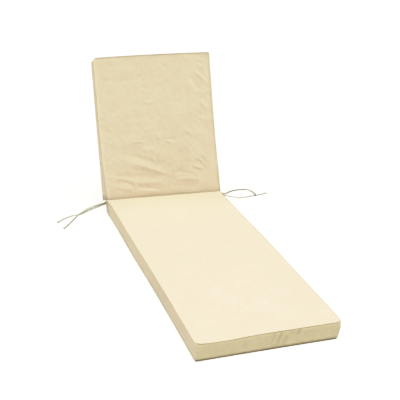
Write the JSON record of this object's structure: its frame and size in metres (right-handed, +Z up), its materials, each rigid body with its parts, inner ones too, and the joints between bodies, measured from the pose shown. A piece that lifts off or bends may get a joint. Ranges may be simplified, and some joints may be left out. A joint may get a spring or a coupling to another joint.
{
  "type": "sun lounger cushion",
  "caption": "Box-edged sun lounger cushion in beige cloth, its back section raised at a sewn hinge, with free tie strips at both ends of the hinge.",
  "frame": {"origin": "middle of the box of the seat and back sections, on the surface that the seat section lies on", "axes": "+Z up; +Y from the foot end to the head end; +X to the right as one faces the cushion from its foot end"},
  "size_m": [1.1339, 1.6866, 0.7065],
  "materials": {
    "seat_fabric": "plain woven cloth, matt",
    "back_fabric": "plain woven cloth, matt",
    "seam_fabric": "folded seam allowance of the same cloth",
    "tie_fabric": "flat folded strip of the same cloth"
  },
  "bodies": {
    "root": {"seat_section": "seat_fabric", "back_section": "back_fabric", "hinge_seam": "seam_fabric", "tie_left_upper": "tie_fabric", "tie_left_lower": "tie_fabric", "tie_right_upper": "tie_fabric", "tie_right_lower": "tie_fabric"}
  },
  "joints": []
}
